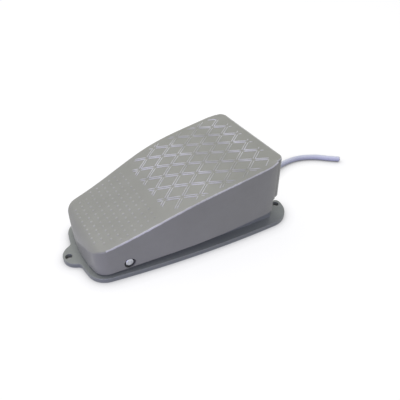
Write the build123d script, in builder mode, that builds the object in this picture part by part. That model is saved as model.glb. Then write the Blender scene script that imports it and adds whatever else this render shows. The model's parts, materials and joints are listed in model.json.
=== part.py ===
from build123d import *
import math
import os

# Cast foot switch: a hood shaped pedal hinged near its low end over a cast base tray.
# Millimetres. X is the width, Y runs from the low front end to the high rear end where
# the cord leaves, Z is up. The origin is the middle of the footprint, on the floor.

os.makedirs("parts", exist_ok=True)

# Overall sizes
base_length = 219.5
front_tip = -base_length / 2
rear_tip = base_length / 2

# Hood, the pedal casting
hood_start = 15.4
hood_end = 18.1
hood_front_width = 81.0
hood_rear_width = 113.7
hood_side_bow = 2.6
hood_front_bow = 5.9
hood_front_corner = 15.0
hood_rear_corner = 6.0
hood_wall = 3.0
hood_top_wall = 3.4
hood_draft = 0.7
hood_edge_radius = 1.6
hood_front_height = 31.2
hood_rear_height = 72.8
hood_nose_radius = 13.0
skirt_front_gap = 1.2
skirt_angle = 3.35
rear_notch_length = 9.2
rear_notch_radius = 4.0
rear_wall_bottom = 29.0

# Base casting
base_front_width = 84.0
base_rear_width = 122.0
base_side_bow = 4.0
base_front_bow = 5.8
base_front_margin = 4.5
base_front_corner = 19.0
base_rear_corner = 24.0
flange_thickness = 4.5
rear_recess = 13.8
tray_gap = 2.2
tray_wall = 3.0
tray_height = 9.5
rear_wall_height = 17.5
rear_wall_width = 60.0
front_ear_radius = 14.0
rear_ear_inner = 32.4
ear_blend = 5.0
ear_corner = 4.4
ear_hole_radius = 3.25
front_hole_inset = 5.1
rear_hole_inset = 6.3
rear_hole_spacing = 77.0
casting_edge = 0.8
rest_pad_length = 12.0
rest_pad_gap = 0.3

# Hinge
hinge_from_front = 32.2
hinge_height = 12.8
pin_radius = 4.0
pin_clearance = 0.05
pin_head_recess = 1.0
pin_dome = 1.2
pin_recess_radius = 5.2
pin_recess_depth = 1.6
hinge_boss_radius = 8.0
hinge_boss_depth = 2.0
lug_thickness = 6.0
washer_thickness = 0.8
side_play = 0.1
clip_thickness = 0.9
clip_radius = 6.4
clip_neck_radius = 3.2
pedal_travel = 3.2

# Switch
switch_length = 49.2
switch_width = 17.5
switch_height = 24.2
switch_cover_height = 6.0
switch_from_hinge = 48.0
switch_floor = 14.5
switch_edge = 0.8
switch_hole_spacing = 25.4
switch_hole_drop = 14.0
plunger_radius = 2.5
plunger_depth = 5.0
plunger_from_pivot = 11.0
plunger_lift = 5.6
lever_pivot_inset = 4.0
lever_pivot_lift = 3.4
lever_length = 40.0
lever_width = 8.4
lever_sheet = 0.8
lever_pin_radius = 1.0
lever_eye_radius = 2.0
lug_eye_radius = 1.9
touch_gap = 0.3
tab_width = 6.3
tab_sheet = 0.8
tab_length = 8.5
tab_first = 6.0
tab_pitch = 18.0
bracket_sheet = 2.0
bracket_foot = 15.0
bracket_length = 44.0
bracket_pad_height = 2.5
bracket_screw_spacing = 30.0
card_sheet = 0.5
card_width = 22.0

# Fasteners
m4_radius = 2.0
m4_head_radius = 3.6
m4_head_height = 2.6
m4_nut_radius = 4.0
m4_nut_height = 3.0
m6_radius = 3.0
m6_nut_radius = 5.6
m6_nut_height = 3.2
hole_clearance = 0.1
slot_width = 1.0
slot_depth = 1.0

# Spring and stops
spring_from_hinge = 116.0
spring_radius = 9.0
spring_wire = 1.2
spring_turns = 4
spring_steps = 6
spring_post_radius = 6.6
spring_post_height = 14.0
spring_pad_height = 2.0
spring_stub_depth = 8.0
spring_stub_radius = 4.8
buffer_from_hinge = 128.0
buffer_spread = 58.0
buffer_radius = 6.0
buffer_height = 8.0
pillar_height = 36.0
pillar_radius = 6.5
pillar_draft = 0.5
stop_rib_thickness = 4.0
screw_from_pivot = 36.0
adjuster_boss_radius = 7.0
adjuster_boss_depth = 7.0
adjuster_length = 13.0

# Cord
cord_radius = 3.0
cord_height = 12.0
grommet_neck_radius = 5.4
grommet_flange_radius = 7.0
grommet_flange = 2.0
grommet_tip_radius = 3.9
grommet_tail = 20.0
core_radius = 1.0
core_spread = 1.3
cord_inside = 12.0
clamp_width = 7.0
clamp_sheet = 1.2
clamp_span = 24.0
clamp_screw_spacing = 17.0
cut_core_length = 0.6
earth_from_spring = 12.0
tag_radius = 3.6
tag_barrel = 3.0
tag_sheet = 1.0
tag_lap = 0.4

# Places that follow from the sizes above
hood_front = front_tip + hood_start
hood_rear = rear_tip - hood_end
hood_length = hood_rear - hood_front
hood_corner_y = hood_front + hood_front_bow
base_front = hood_front - base_front_margin
base_corner_y = base_front + base_front_bow
base_rear_start = rear_tip - base_rear_corner - 1
hood_rise = hood_rear_height - hood_front_height
top_points = [
    (hood_front + hood_length * share, hood_front_height + hood_rise * rise)
    for share, rise in ((0, 0), (0.275, 0.315), (0.525, 0.66), (0.775, 0.85), (1, 1))
]
skirt_front = flange_thickness + skirt_front_gap
skirt_rear = skirt_front + hood_length * math.tan(math.radians(skirt_angle))
hinge_y = hood_front + hinge_from_front


def half_width(y):
    """Half the hood's width at its lower edge, at a place along Y."""
    share = (y - hood_corner_y) / (hood_rear - hood_corner_y)
    straight = (hood_front_width + (hood_rear_width - hood_front_width) * share) / 2
    return straight + hood_side_bow * 4 * share * (1 - share)


def top_height(y):
    """Height of the hood's top at a place along Y, between the points of its profile."""
    for (y0, z0), (y1, z1) in zip(top_points[:-1], top_points[1:]):
        if y <= y1:
            return z0 + (z1 - z0) * (y - y0) / (y1 - y0)
    return hood_rear_height


def drop_when_pressed(y, z):
    """How far a point of the pedal has gone down at the end of its travel."""
    turn = math.radians(pedal_travel)
    return (y - hinge_y) * math.sin(turn) + (z - hinge_height) * (1 - math.cos(turn))


hood_half = half_width(hinge_y)
boss_face = hood_half - hood_wall - hinge_boss_depth
lug_outer = boss_face - washer_thickness - 2 * side_play
lug_inner = lug_outer - lug_thickness
pin_end = hood_half - pin_head_recess
clip_face = lug_inner - side_play

switch_front = hinge_y + switch_from_hinge
switch_middle = switch_front + switch_length / 2
switch_top = switch_floor + switch_height
case_top = switch_top - switch_cover_height
switch_hole_z = switch_top - switch_hole_drop
pivot_y = switch_front + lever_pivot_inset
pivot_z = switch_top + lever_pivot_lift
lever_under = switch_top + plunger_lift + touch_gap
lever_top = lever_under + lever_sheet
plunger_y = pivot_y + plunger_from_pivot
adjuster_y = pivot_y + screw_from_pivot
adjuster_tip = lever_top + touch_gap
adjuster_boss_bottom = top_height(adjuster_y) - hood_top_wall - adjuster_boss_depth

spring_y = hinge_y + spring_from_hinge
spring_seat_low = flange_thickness + spring_pad_height
spring_seat_high = top_height(spring_y) - hood_top_wall - spring_pad_height
buffer_y = hinge_y + buffer_from_hinge
buffer_bottom = flange_thickness + pillar_height
buffer_top = buffer_bottom + buffer_height
tilt_allowance = buffer_radius * math.sin(math.radians(pedal_travel))
stop_rib_bottom = buffer_top + drop_when_pressed(buffer_y, buffer_top) + tilt_allowance + touch_gap

tray_outer_inset = hood_wall + tray_gap
tray_inner_inset = tray_outer_inset + tray_wall
tray_rear_outer = hood_rear - tray_outer_inset
tray_rear_inner = hood_rear - tray_inner_inset
cord_start = tray_rear_inner - cord_inside
clamp_y = tray_rear_inner - clamp_width
clamp_pad_top = cord_height - cord_radius - hole_clearance
earth_x = switch_width / 2 + bracket_foot
earth_y = spring_y - earth_from_spring
tag_end_y = earth_y + tag_radius + tag_barrel - tag_lap
rear_recess_y = rear_tip - rear_recess


def hood_plan(inset):
    """The hood's plan at the floor, drawn in by inset: bowed front and sides, straight rear."""
    half_front = hood_front_width / 2
    half_rear = hood_rear_width / 2
    side_lean = math.atan((half_rear - half_front + 4 * hood_side_bow) / (hood_rear - hood_corner_y))
    front_lean = math.atan(2 * hood_front_bow / half_front)
    lean_sum = math.cos(side_lean + front_lean)
    corner_x = half_front - inset * (math.cos(front_lean) - math.sin(side_lean)) / lean_sum
    corner_y = hood_corner_y + inset * (math.cos(side_lean) - math.sin(front_lean)) / lean_sum
    middle_x = (half_front + half_rear) / 2 + hood_side_bow - inset
    middle_y = (hood_corner_y + hood_rear) / 2
    rear_x = half_rear - inset
    rear_y = hood_rear - inset
    with BuildSketch() as plan:
        with BuildLine():
            ThreePointArc((-corner_x, corner_y), (0, hood_front + inset), (corner_x, corner_y))
            ThreePointArc((corner_x, corner_y), (middle_x, middle_y), (rear_x, rear_y))
            Line((rear_x, rear_y), (-rear_x, rear_y))
            ThreePointArc((-rear_x, rear_y), (-middle_x, middle_y), (-corner_x, corner_y))
        make_face()
        fillet(plan.vertices().sort_by(Axis.Y)[:2], hood_front_corner - inset)
        fillet(plan.vertices().sort_by(Axis.Y)[-2:], max(hood_rear_corner - inset, 1))
    return plan.sketch


def hood_solid(inset, drop, bottom_front, bottom_rear):
    """The hood's form, drawn in from the sides by inset and from the top by drop."""
    front = hood_front + inset
    rear = hood_rear - inset
    plan = hood_plan(inset)
    with BuildPart() as form:
        with BuildSketch(Plane.YZ.offset(-hood_rear_width)):
            with BuildLine():
                Spline(*[(min(max(y, front), rear), z - drop) for y, z in top_points])
                Line((rear, hood_rear_height - drop), (rear, bottom_rear))
                Line((rear, bottom_rear), (front, bottom_front))
                Line((front, bottom_front), (front, hood_front_height - drop))
            make_face()
        extrude(amount=2 * hood_rear_width)
        nose = form.edges().filter_by(Axis.X).group_by(Axis.Y)[0].sort_by(Axis.Z)[-1]
        fillet(nose, hood_nose_radius - inset)
        with BuildSketch():
            add(plan)
        extrude(amount=hood_rear_height + 1, taper=hood_draft, mode=Mode.INTERSECT)
    return form.part


def screw(radius, head_radius, head_height, length):
    """A cheese head screw, head up, with the underside of its head at the origin."""
    with BuildPart() as form:
        with Locations((0, 0, head_height / 2)):
            Cylinder(head_radius, head_height)
        fillet(form.edges().sort_by(Axis.Z)[-1], head_height / 4)
        with Locations((0, 0, head_height)):
            Box(2 * head_radius, slot_width, 2 * slot_depth, mode=Mode.SUBTRACT)
        with Locations((0, 0, -length / 2)):
            Cylinder(radius, length)
        chamfer(form.faces().sort_by(Axis.Z)[0].edges(), radius / 4)
    return form.part


def nut(hole_radius, outer_radius, height):
    """A hexagon nut that stands on the origin."""
    with BuildPart() as form:
        with BuildSketch():
            RegularPolygon(outer_radius, 6)
            Circle(hole_radius, mode=Mode.SUBTRACT)
        extrude(amount=height)
    return form.part


def core(start, *points):
    """One insulated core of the cord, bent in gentle arcs through hand placed points."""
    path = [Vector(*start)] + [Vector(*point) for point in points]
    with BuildPart() as form:
        with BuildLine() as route:
            FilletPolyline(*path, radius=arc_radii(path))
        with BuildSketch(Plane(origin=route.line @ 0, z_dir=route.line % 0)):
            Circle(core_radius)
        sweep()
    return form.part


def arc_radii(path):
    """The radius at each corner of a route: 0.45 of its shorter run over the half turn."""
    radii = []
    for before, corner, after in zip(path[:-2], path[1:-1], path[2:]):
        turn = math.radians((corner - before).get_angle(after - corner))
        shorter = min((corner - before).length, (after - corner).length)
        radii.append(0.45 * shorter / math.tan(turn / 2))
    return radii


# Base casting: flange with three ears, tray wall, hinge lugs, posts and pads
with BuildPart() as tray_ring:
    with BuildSketch(Plane.XY.offset(flange_thickness)):
        add(hood_plan(tray_outer_inset))
        add(hood_plan(tray_inner_inset), mode=Mode.SUBTRACT)
    extrude(amount=tray_height)
    with BuildSketch(Plane.XY.offset(flange_thickness)):
        with Locations((0, tray_rear_outer - tray_wall / 2)):
            Rectangle(rear_wall_width, tray_wall)
    extrude(amount=rear_wall_height)
    for side in (-1, 1):
        with Locations((side * lug_outer, hinge_y, flange_thickness + tray_height / 2)):
            Box(2 * lug_thickness + 4, 2 * hinge_boss_radius + 4, tray_height, mode=Mode.SUBTRACT)

with BuildPart() as base_casting:
    with BuildSketch() as footprint:
        with BuildLine():
            front = base_front_width / 2
            rear = base_rear_width / 2
            bow = ((front + rear) / 2 + base_side_bow, (base_corner_y + base_rear_start) / 2)
            ThreePointArc((-front, base_corner_y), (0, base_front), (front, base_corner_y))
            ThreePointArc((front, base_corner_y), bow, (rear, base_rear_start))
            Polyline(
                (rear, base_rear_start), (rear, rear_tip), (-rear, rear_tip), (-rear, base_rear_start)
            )
            ThreePointArc((-rear, base_rear_start), (-bow[0], bow[1]), (-front, base_corner_y))
        make_face()
        fillet(footprint.vertices().sort_by(Axis.Y)[:2], base_front_corner)
        with Locations((0, rear_tip)):
            Rectangle(2 * rear_ear_inner, 2 * rear_recess, mode=Mode.SUBTRACT)
        rear_points = footprint.vertices().filter_by_position(Axis.Y, rear_tip - 1, rear_tip + 1)
        fillet(rear_points.sort_by(Axis.X)[::3], base_rear_corner)
        inner = rear_ear_inner + 1
        ear_points = footprint.vertices().filter_by_position(Axis.X, -inner, inner)
        fillet(ear_points.sort_by(Axis.Y)[-2:], ear_corner)
        recess_points = footprint.vertices().filter_by_position(
            Axis.Y, rear_recess_y - 1, rear_recess_y + 1
        )
        fillet(recess_points, ear_blend)
        with Locations((0, front_tip + front_ear_radius)):
            Circle(front_ear_radius)
        roots = footprint.vertices().filter_by_position(Axis.X, -front_ear_radius, front_ear_radius)
        fillet(roots.filter_by_position(Axis.Y, front_tip, base_front + 3), ear_blend)
    extrude(amount=flange_thickness)
    fillet(base_casting.faces().sort_by(Axis.Z)[-1].edges(), casting_edge)
    add(tray_ring.part)
    for side in (-1, 1):
        with BuildSketch(Plane.YZ.offset(side * (lug_outer + lug_inner) / 2)):
            with Locations((hinge_y, hinge_height)):
                Circle(hinge_boss_radius)
            with Locations((hinge_y, (flange_thickness + hinge_height) / 2)):
                Rectangle(2 * hinge_boss_radius, hinge_height - flange_thickness)
        extrude(amount=lug_thickness / 2, both=True)
        with BuildSketch(Plane.XY.offset(flange_thickness)):
            with Locations((side * buffer_spread / 2, buffer_y)):
                Circle(pillar_radius)
        extrude(amount=pillar_height, taper=pillar_draft)
        with BuildSketch(Plane.XY.offset(flange_thickness)):
            with Locations((side * hood_front_width / 5, hood_front + hood_wall)):
                Rectangle(rest_pad_length, hood_wall)
        extrude(amount=skirt_front_gap - rest_pad_gap)
    with BuildSketch(Plane.XY.offset(flange_thickness)):
        with Locations((0, spring_y)):
            Circle(spring_radius + spring_wire + 1)
    extrude(amount=spring_pad_height)
    with BuildSketch(Plane.XY.offset(flange_thickness)):
        with Locations((0, spring_y)):
            Circle(spring_post_radius)
    extrude(amount=spring_post_height)
    bracket_screw_x = switch_width / 2 + bracket_foot / 2 + bracket_sheet / 2
    with BuildSketch(Plane.XY.offset(flange_thickness)):
        with Locations((switch_width / 2 + bracket_foot / 2, switch_middle)):
            Rectangle(bracket_foot, bracket_length)
        with Locations((0, clamp_y)):
            Rectangle(clamp_span, clamp_width, mode=Mode.ADD)
    extrude(amount=bracket_pad_height)
    with BuildSketch(Plane.XY.offset(flange_thickness)):
        with Locations((0, clamp_y)):
            Rectangle(clamp_span, clamp_width)
    extrude(amount=clamp_pad_top - flange_thickness)
    with BuildSketch(Plane.XY.offset(flange_thickness)):
        with Locations((earth_x, earth_y)):
            Circle(m4_head_radius + 1)
    extrude(amount=bracket_pad_height)
    with Locations(Plane(origin=(0, tray_rear_outer, cord_height), z_dir=(0, 1, 0))):
        Cylinder(grommet_neck_radius + hole_clearance, 3 * tray_wall, mode=Mode.SUBTRACT)
    with Locations(Plane(origin=(0, hinge_y, hinge_height), z_dir=(1, 0, 0))):
        Cylinder(pin_radius + pin_clearance, hood_rear_width, mode=Mode.SUBTRACT)
    with Locations(
        (0, front_tip + front_hole_inset, flange_thickness),
        (-rear_hole_spacing / 2, rear_tip - rear_hole_inset, flange_thickness),
        (rear_hole_spacing / 2, rear_tip - rear_hole_inset, flange_thickness),
    ):
        Hole(ear_hole_radius, depth=flange_thickness)
    m4_hole = m4_radius + hole_clearance
    low_pad = flange_thickness + bracket_pad_height
    m4_depth = bracket_pad_height + 3
    with Locations(
        (bracket_screw_x, switch_middle - bracket_screw_spacing / 2, low_pad),
        (bracket_screw_x, switch_middle + bracket_screw_spacing / 2, low_pad),
        (earth_x, earth_y, low_pad),
        (-clamp_screw_spacing / 2, clamp_y, clamp_pad_top),
        (clamp_screw_spacing / 2, clamp_y, clamp_pad_top),
    ):
        Hole(m4_hole, depth=m4_depth)
base_casting.part.label = "base_casting"
export_step(base_casting.part, "parts/base_casting.step")

# Pedal casting: hood with hinge bosses, stop ribs, spring seat and adjuster boss inside
hood_form = hood_solid(0, 0, skirt_front, skirt_rear)
hollow = hood_solid(hood_wall, hood_top_wall, 0, 0)

with BuildPart() as pedal_bosses:
    for side in (-1, 1):
        with BuildSketch(Plane.YZ.offset(side * (boss_face + hood_half) / 2)):
            with Locations((hinge_y, hinge_height)):
                Circle(hinge_boss_radius)
        extrude(amount=(hood_half - boss_face) / 2, both=True)
        with BuildSketch(Plane.XY.offset(stop_rib_bottom)):
            with Locations((side * buffer_spread / 2, buffer_y - buffer_radius)):
                Rectangle(stop_rib_thickness, hood_length / 2)
        extrude(amount=hood_rear_height)
    with BuildSketch(Plane.XY.offset(spring_seat_high)):
        with Locations((0, spring_y)):
            Circle(spring_radius + spring_wire + 1)
    extrude(amount=hood_rear_height)
    with BuildSketch(Plane.XY.offset(spring_seat_high - spring_stub_depth)):
        with Locations((0, spring_y)):
            Circle(spring_stub_radius)
    extrude(amount=hood_rear_height)
    with BuildSketch(Plane.XY.offset(adjuster_boss_bottom)):
        with Locations((0, adjuster_y)):
            Circle(adjuster_boss_radius)
    extrude(amount=hood_rear_height)
    add(hood_form, mode=Mode.INTERSECT)

with BuildPart() as pedal_casting:
    add(hood_form)
    top_face = pedal_casting.faces().sort_by(Axis.Z)[-1]
    crisp = [edge for edge in top_face.edges() if edge.center().Y > hood_front + hood_nose_radius]
    fillet(crisp, hood_edge_radius)
    add(hollow, mode=Mode.SUBTRACT)
    add(pedal_bosses.part)
    with BuildSketch(Plane.YZ.offset(-hood_rear_width)):
        with Locations((hood_rear, 0)):
            Rectangle(2 * rear_notch_length, 2 * rear_wall_bottom)
    extrude(amount=2 * hood_rear_width, mode=Mode.SUBTRACT)
    with Locations(Plane(origin=(0, hinge_y, hinge_height), z_dir=(1, 0, 0))):
        Cylinder(pin_radius + pin_clearance, hood_rear_width, mode=Mode.SUBTRACT)
    for side in (-1, 1):
        with Locations(Plane(origin=(side * hood_half, hinge_y, hinge_height), z_dir=(1, 0, 0))):
            Cylinder(pin_recess_radius, 2 * pin_recess_depth, mode=Mode.SUBTRACT)
    with Locations((0, adjuster_y, adjuster_boss_bottom)):
        Cylinder(
            m6_radius + pin_clearance,
            adjuster_boss_depth + 1,
            align=(Align.CENTER, Align.CENTER, Align.MIN),
            mode=Mode.SUBTRACT,
        )
pedal_casting.part.label = "pedal_casting"
export_step(pedal_casting.part, "parts/pedal_casting.step")

# Hinge: pin with domed ends and clip grooves, two thrust washers, two retaining clips
with BuildPart() as hinge_pin:
    with Locations(Plane(origin=(0, hinge_y, hinge_height), z_dir=(1, 0, 0))):
        Cylinder(pin_radius, 2 * pin_end)
    fillet(hinge_pin.edges().filter_by(GeomType.CIRCLE), pin_dome)
    for side in (-1, 1):
        groove_x = side * (clip_face - clip_thickness / 2)
        with BuildSketch(Plane.YZ.offset(groove_x)):
            with Locations((hinge_y, hinge_height)):
                Circle(pin_radius + 1.0)
                Circle(clip_neck_radius - hole_clearance, mode=Mode.SUBTRACT)
        extrude(amount=clip_thickness / 2 + side_play, both=True, mode=Mode.SUBTRACT)
hinge_pin.part.label = "hinge_pin"
export_step(hinge_pin.part, "parts/hinge_pin.step")

with BuildPart() as retaining_clips:
    for side in (-1, 1):
        with BuildSketch(Plane.YZ.offset(side * (clip_face - clip_thickness / 2))):
            with Locations((hinge_y, hinge_height)):
                Circle(clip_radius)
                Circle(clip_neck_radius, mode=Mode.SUBTRACT)
            with Locations((hinge_y, hinge_height + clip_radius)):
                Rectangle(1.6 * clip_neck_radius, 2 * clip_radius, mode=Mode.SUBTRACT)
        extrude(amount=clip_thickness / 2, both=True)
retaining_clips.part.label = "retaining_clips"
export_step(retaining_clips.part, "parts/retaining_clips.step")

with BuildPart() as thrust_washers:
    for side in (-1, 1):
        with BuildSketch(Plane.YZ.offset(side * (lug_outer + side_play + washer_thickness / 2))):
            with Locations((hinge_y, hinge_height)):
                Circle(hinge_boss_radius - casting_edge)
                Circle(pin_radius + hole_clearance, mode=Mode.SUBTRACT)
        extrude(amount=washer_thickness / 2, both=True)
thrust_washers.part.label = "thrust_washers"
export_step(thrust_washers.part, "parts/thrust_washers.step")

# Return spring between the base post and the pedal's stub
spring_room = spring_seat_high - spring_seat_low - 2 * spring_wire - 2 * touch_gap
with BuildPart() as return_spring:
    coil_steps = round(spring_turns * spring_steps)
    coil_points = []
    for step in range(coil_steps + 1):
        turn = math.radians(360 * step / spring_steps)
        coil_z = spring_seat_low + spring_wire + touch_gap + spring_room * step / coil_steps
        coil_x = spring_radius * math.cos(turn)
        coil_points.append(Vector(coil_x, spring_y + spring_radius * math.sin(turn), coil_z))
    with BuildLine() as coil:
        FilletPolyline(*coil_points, radius=arc_radii(coil_points))
    with BuildSketch(Plane(origin=coil.line @ 0, z_dir=coil.line % 0)):
        Circle(spring_wire)
    sweep()
return_spring.part.label = "return_spring"
export_step(return_spring.part, "parts/return_spring.step")

# Rubber stop buffers on the two pillars
with BuildPart() as stop_buffers:
    for side in (-1, 1):
        with BuildSketch(Plane.XY.offset(buffer_bottom)):
            with Locations((side * buffer_spread / 2, buffer_y)):
                Circle(buffer_radius)
        extrude(amount=buffer_height)
    fillet(stop_buffers.faces().sort_by(Axis.Z)[-2:].edges(), casting_edge)
stop_buffers.part.label = "stop_buffers"
export_step(stop_buffers.part, "parts/stop_buffers.step")

# Snap switch: case, cover with the lever's lug, plunger, lever, lever pin and three tabs
hole_plane = Plane(origin=(0, switch_middle, switch_hole_z), x_dir=(0, 1, 0), z_dir=(1, 0, 0))
with BuildPart() as switch_case:
    with BuildSketch(Plane.XY.offset(switch_floor)):
        with Locations((0, switch_middle)):
            Rectangle(switch_width, switch_length)
    extrude(amount=switch_height - switch_cover_height)
    fillet(switch_case.edges().filter_by(Axis.Z), switch_edge)
    with Locations(hole_plane):
        with GridLocations(switch_hole_spacing, 0, 2, 1):
            Cylinder(m4_radius + hole_clearance, 2 * switch_width, mode=Mode.SUBTRACT)
    with Locations((0, plunger_y, case_top)):
        Cylinder(
            plunger_radius + hole_clearance,
            2 * plunger_depth,
            mode=Mode.SUBTRACT,
        )
switch_case.part.label = "switch_case"
export_step(switch_case.part, "parts/switch_case.step")

lug_width = lever_width - 2 * lever_sheet - 2 * hole_clearance - 0.2
pin_line = Plane(origin=(0, pivot_y, pivot_z), x_dir=(0, 1, 0), z_dir=(1, 0, 0))
with BuildPart() as switch_cover:
    with BuildSketch(Plane.XY.offset(case_top)):
        with Locations((0, switch_middle)):
            Rectangle(switch_width, switch_length)
    extrude(amount=switch_cover_height)
    fillet(switch_cover.edges().filter_by(Axis.Z), switch_edge)
    chamfer(switch_cover.faces().sort_by(Axis.Z)[-1].edges(), switch_edge / 2)
    with BuildSketch(pin_line):
        Circle(lug_eye_radius)
        with Locations((0, -lever_pivot_lift / 2)):
            Rectangle(2 * lug_eye_radius, lever_pivot_lift)
    extrude(amount=lug_width / 2, both=True)
    with Locations(pin_line):
        Cylinder(lever_pin_radius + pin_clearance, lever_width, mode=Mode.SUBTRACT)
    with Locations((0, plunger_y, switch_top)):
        Cylinder(plunger_radius + hole_clearance, 3 * switch_cover_height, mode=Mode.SUBTRACT)
switch_cover.part.label = "switch_cover"
export_step(switch_cover.part, "parts/switch_cover.step")

with BuildPart() as switch_plunger:
    plunger_length = switch_cover_height + plunger_lift + plunger_depth / 3
    with Locations((0, plunger_y, switch_top + plunger_lift - plunger_length / 2)):
        Cylinder(plunger_radius, plunger_length)
    fillet(switch_plunger.edges().sort_by(Axis.Z)[-1], plunger_radius / 2)
switch_plunger.part.label = "switch_plunger"
export_step(switch_plunger.part, "parts/switch_plunger.step")

with BuildPart() as switch_lever:
    rise = lever_under - pivot_z
    with BuildSketch(Plane.XY.offset(lever_under)) as strip:
        with Locations((0, pivot_y - lever_eye_radius)):
            Rectangle(lever_width, lever_length + lever_eye_radius, align=(Align.CENTER, Align.MIN))
        fillet(strip.vertices().sort_by(Axis.Y)[-2:], 2)
    extrude(amount=lever_sheet)
    with BuildSketch(pin_line.offset(-lever_width / 2)):
        Circle(lever_eye_radius)
        with BuildLine():
            Polyline(
                (-lever_eye_radius, 0),
                (-lever_eye_radius, rise + lever_sheet),
                (4 * lever_eye_radius, rise + lever_sheet),
                (4 * lever_eye_radius, rise),
                (lever_eye_radius, 0),
                (-lever_eye_radius, 0),
            )
        make_face()
        Circle(lever_pin_radius + pin_clearance, mode=Mode.SUBTRACT)
    extrude(amount=lever_sheet)
    mirror(switch_lever.part, about=Plane.YZ)
switch_lever.part.label = "switch_lever"
export_step(switch_lever.part, "parts/switch_lever.step")

with BuildPart() as lever_pin:
    with Locations(pin_line):
        Cylinder(lever_pin_radius, lever_width + 2 * hole_clearance)
lever_pin.part.label = "lever_pin"
export_step(lever_pin.part, "parts/lever_pin.step")

tab_names = ("common_terminal", "open_terminal", "closed_terminal")
tab_places = [switch_front + tab_first + tab_pitch * (2 - index) for index in range(3)]
for name, place in zip(tab_names, tab_places):
    with BuildPart() as terminal:
        with BuildSketch(Plane.YZ.offset(-tab_sheet / 2)):
            with Locations((place, switch_floor - tab_length / 2)):
                Rectangle(tab_width, tab_length)
            with Locations((place, switch_floor - tab_length + tab_width / 3)):
                Circle(core_radius / 2, mode=Mode.SUBTRACT)
        extrude(amount=tab_sheet)
    terminal.part.label = name
    export_step(terminal.part, f"parts/{name}.step")

with BuildPart() as insulation_card:
    with BuildSketch(Plane.XY.offset(flange_thickness)):
        with Locations((switch_width / 2 - card_width / 2, switch_middle)):
            Rectangle(card_width - 2 * hole_clearance, switch_length)
    extrude(amount=card_sheet)
insulation_card.part.label = "insulation_card"
export_step(insulation_card.part, "parts/insulation_card.step")

# Switch bracket, its screws and nuts
with BuildPart() as switch_bracket:
    with BuildSketch(Plane.XZ.offset(-switch_middle - bracket_length / 2)):
        with BuildLine():
            inner_x = switch_width / 2
            outer_x = inner_x + bracket_foot
            plate_top = switch_hole_z + 2 * m4_nut_radius / 2 + 1
            Polyline(
                (inner_x, low_pad),
                (outer_x, low_pad),
                (outer_x, low_pad + bracket_sheet),
                (inner_x + bracket_sheet, low_pad + bracket_sheet),
                (inner_x + bracket_sheet, plate_top),
                (inner_x, plate_top),
                (inner_x, low_pad),
            )
        make_face()
    extrude(amount=bracket_length)
    with Locations(hole_plane):
        with GridLocations(switch_hole_spacing, 0, 2, 1):
            Cylinder(m4_radius + hole_clearance, 2 * switch_width, mode=Mode.SUBTRACT)
    with Locations((bracket_screw_x, switch_middle, low_pad)):
        with GridLocations(0, bracket_screw_spacing, 1, 2):
            Cylinder(m4_radius + hole_clearance, 4 * bracket_sheet, mode=Mode.SUBTRACT)
switch_bracket.part.label = "switch_bracket"
export_step(switch_bracket.part, "parts/switch_bracket.step")

short_screw = screw(m4_radius, m4_head_radius, m4_head_height, bracket_pad_height + 4)
with BuildPart() as bracket_screws:
    with Locations((bracket_screw_x, switch_middle, low_pad + bracket_sheet)):
        with GridLocations(0, bracket_screw_spacing, 1, 2):
            add(short_screw)
bracket_screws.part.label = "bracket_screws"
export_step(bracket_screws.part, "parts/bracket_screws.step")

long_length = switch_width + bracket_sheet + m4_nut_height + 1.5
long_screw = screw(m4_radius, m4_head_radius, m4_head_height, long_length)
with BuildPart() as switch_screws:
    for side in (-1, 1):
        place = (-switch_width / 2, switch_middle + side * switch_hole_spacing / 2, switch_hole_z)
        with Locations(Plane(origin=place, z_dir=(-1, 0, 0))):
            add(long_screw)
switch_screws.part.label = "switch_screws"
export_step(switch_screws.part, "parts/switch_screws.step")

m4_nut = nut(m4_radius + pin_clearance, m4_nut_radius, m4_nut_height)
with BuildPart() as switch_nuts:
    for side in (-1, 1):
        place_y = switch_middle + side * switch_hole_spacing / 2
        place = (switch_width / 2 + bracket_sheet, place_y, switch_hole_z)
        with Locations(Plane(origin=place, z_dir=(1, 0, 0))):
            add(m4_nut)
switch_nuts.part.label = "switch_nuts"
export_step(switch_nuts.part, "parts/switch_nuts.step")

# Adjusting screw and its lock nut, on the pedal
with BuildPart() as adjusting_screw:
    with Locations((0, adjuster_y, adjuster_tip)):
        Cylinder(m6_radius, adjuster_length, align=(Align.CENTER, Align.CENTER, Align.MIN))
    fillet(adjusting_screw.edges().sort_by(Axis.Z)[0], m6_radius / 3)
    chamfer(adjusting_screw.edges().sort_by(Axis.Z)[-1], m6_radius / 6)
adjusting_screw.part.label = "adjusting_screw"
export_step(adjusting_screw.part, "parts/adjusting_screw.step")

m6_nut = nut(m6_radius + pin_clearance, m6_nut_radius, m6_nut_height)
with BuildPart() as lock_nut:
    with Locations((0, adjuster_y, adjuster_boss_bottom - m6_nut_height)):
        add(m6_nut)
lock_nut.part.label = "lock_nut"
export_step(lock_nut.part, "parts/lock_nut.step")

# Cord grommet with a tapered tail, turned about the cord's line
grommet_plane = Plane(origin=(0, 0, cord_height), x_dir=(0, 1, 0), z_dir=(-1, 0, 0))
with BuildPart() as cord_grommet:
    with BuildSketch(grommet_plane):
        with BuildLine():
            bore = cord_radius + hole_clearance
            Polyline(
                (tray_rear_inner - grommet_flange, bore),
                (tray_rear_inner - grommet_flange, grommet_flange_radius - 0.5),
                (tray_rear_inner, grommet_flange_radius - 0.5),
                (tray_rear_inner, grommet_neck_radius),
                (tray_rear_outer, grommet_neck_radius),
                (tray_rear_outer, grommet_flange_radius),
                (tray_rear_outer + grommet_flange, grommet_flange_radius),
                (tray_rear_outer + grommet_flange, grommet_neck_radius - 0.2),
                (tray_rear_outer + grommet_flange + grommet_tail, grommet_tip_radius),
                (tray_rear_outer + grommet_flange + grommet_tail, bore),
                close=True,
            )
        make_face()
    revolve(axis=Axis((0, 0, cord_height), (0, 1, 0)))
cord_grommet.part.label = "cord_grommet"
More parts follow.
